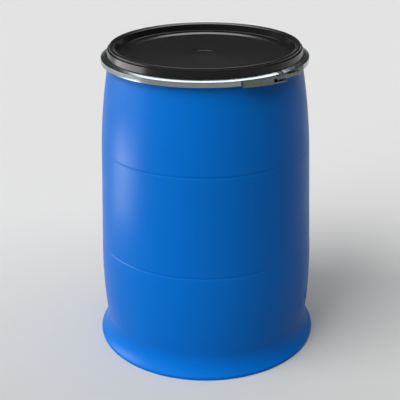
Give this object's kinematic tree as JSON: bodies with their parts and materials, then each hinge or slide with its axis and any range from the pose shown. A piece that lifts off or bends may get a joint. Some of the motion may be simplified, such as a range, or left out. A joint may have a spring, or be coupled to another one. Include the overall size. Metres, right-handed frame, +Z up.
{
  "type": "open head drum",
  "caption": "Plastic open head drum with a flared foot, a recessed black lid and a galvanised clamp ring closed by an over-centre lever.",
  "frame": {"origin": "on the drum's axis, on the floor that the foot stands on", "axes": "+Z up along the axis, front towards -Y, the ring's lever at front right"},
  "size_m": [0.5415, 0.5416, 0.736],
  "materials": {
    "drum_plastic": "satin moulded blue polyethylene",
    "lid_plastic": "satin moulded black polyethylene",
    "gasket_rubber": "matt",
    "ring_steel": "rolled galvanised strip",
    "closure_steel": "pressed galvanised sheet",
    "rivet_steel": "zinc plated"
  },
  "bodies": {
    "drum_shell": {"drum_body": "drum_plastic"},
    "lid_assembly": {"lid": "lid_plastic", "lid_gasket": "gasket_rubber"},
    "ring_left": {"clamp_band_left": "ring_steel", "hinge_bracket": "closure_steel", "hinge_bracket_rivets": "rivet_steel", "lever_pivot_rivets": "rivet_steel"},
    "ring_right": {"clamp_band_right": "ring_steel", "anchor_bracket": "closure_steel", "anchor_bracket_rivets": "rivet_steel", "anchor_pin": "rivet_steel"},
    "lever_assembly": {"lever": "closure_steel", "link_rivet": "rivet_steel"},
    "link_arm": {"tension_link": "closure_steel"}
  },
  "joints": [
    {"name": "ring_lift", "type": "slide", "parent": "drum_shell", "child": "ring_left", "axis": [0, 0, 1], "range_m": [0, 0.2], "deforming": ["clamp_band_left", "clamp_band_right"]},
    {"name": "lid_lift", "type": "slide", "parent": "drum_shell", "child": "lid_assembly", "axis": [0, 0, 1], "range_m": [0, 0.1]},
    {"name": "lever_swing", "type": "hinge", "parent": "ring_left", "child": "lever_assembly", "pos_m": [0.16845, -0.18064, 0.7053], "axis": [0, 0, 1], "range_deg": [0, 140]},
    {"name": "link_swing", "type": "hinge", "parent": "lever_assembly", "child": "link_arm", "pos_m": [0.15336, -0.19045, 0.7053], "axis": [0, 0, 1], "range_deg": [-145.5, 0]},
    {"name": "ring_flex", "type": "hinge", "parent": "ring_left", "child": "ring_right", "pos_m": [-0.16361, 0.17422, 0.7053], "axis": [0, 0, 1], "range_deg": [0, 2.4]}
  ],
  "couplings": [
    {"joint": "lid_lift", "follows": "ring_lift", "ratio": 0.5},
    {"joint": "link_swing", "follows": "lever_swing", "ratio": -1.0357},
    {"joint": "ring_flex", "follows": "lever_swing", "ratio": 0.017052}
  ]
}
